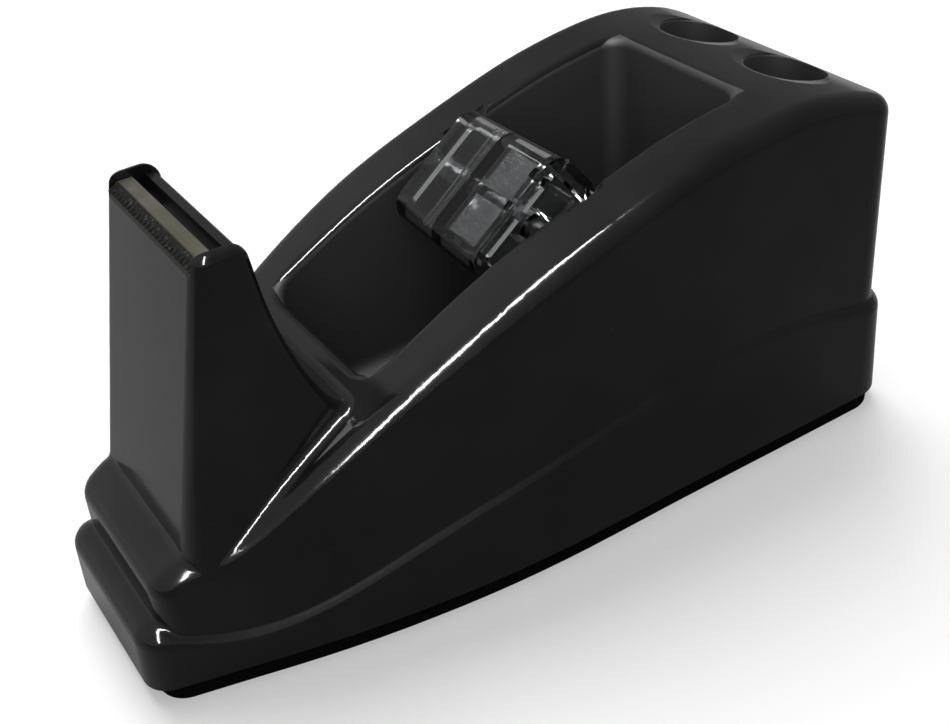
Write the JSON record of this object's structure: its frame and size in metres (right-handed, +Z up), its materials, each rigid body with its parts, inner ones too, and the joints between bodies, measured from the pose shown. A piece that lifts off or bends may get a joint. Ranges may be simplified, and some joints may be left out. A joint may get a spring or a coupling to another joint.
{
  "type": "desk tape dispenser",
  "caption": "Low desk tape dispenser: arched black body with a tape well, clear hub on a loose axle, toothed cutter on a front tower, round pen holes in the rear deck and a rubber pad.",
  "frame": {"origin": "middle of the footprint on the desk, at the underside of the rubber pad", "axes": "+Z up, +Y along the length towards the pen holes, cutter towards -Y, x = 0 is the middle plane"},
  "size_m": [0.0644, 0.1496, 0.075],
  "materials": {
    "housing_plastic": "moulded black plastic with a soft sheen",
    "blade_steel": "tarnished strip steel, serrated edge",
    "axle_steel": "turned rod",
    "hub_clear": "clear moulded plastic",
    "ballast_iron": "rough",
    "plate_plastic": "plain",
    "screw_steel": "zinc plated",
    "pad_rubber": "matt dense rubber"
  },
  "bodies": {
    "base": {"housing": "housing_plastic", "cutter_blade": "blade_steel", "ballast_slab": "ballast_iron", "ballast_nose": "ballast_iron", "bottom_plate": "plate_plastic", "bottom_plate_screws": "screw_steel", "base_pad": "pad_rubber"},
    "axle": {"hub_axle": "axle_steel"},
    "hub": {"hub_shell_left": "hub_clear", "hub_shell_right": "hub_clear"}
  },
  "joints": [
    {"name": "hub_lift", "type": "slide", "parent": "base", "child": "axle", "axis": [0, 0.7071, 0.7071], "range_m": [0, 0.03]},
    {"name": "hub_spin", "type": "hinge", "parent": "axle", "child": "hub", "pos_m": [0, 0.0056, 0.0555], "axis": [1, 0, 0], "continuous": true}
  ]
}
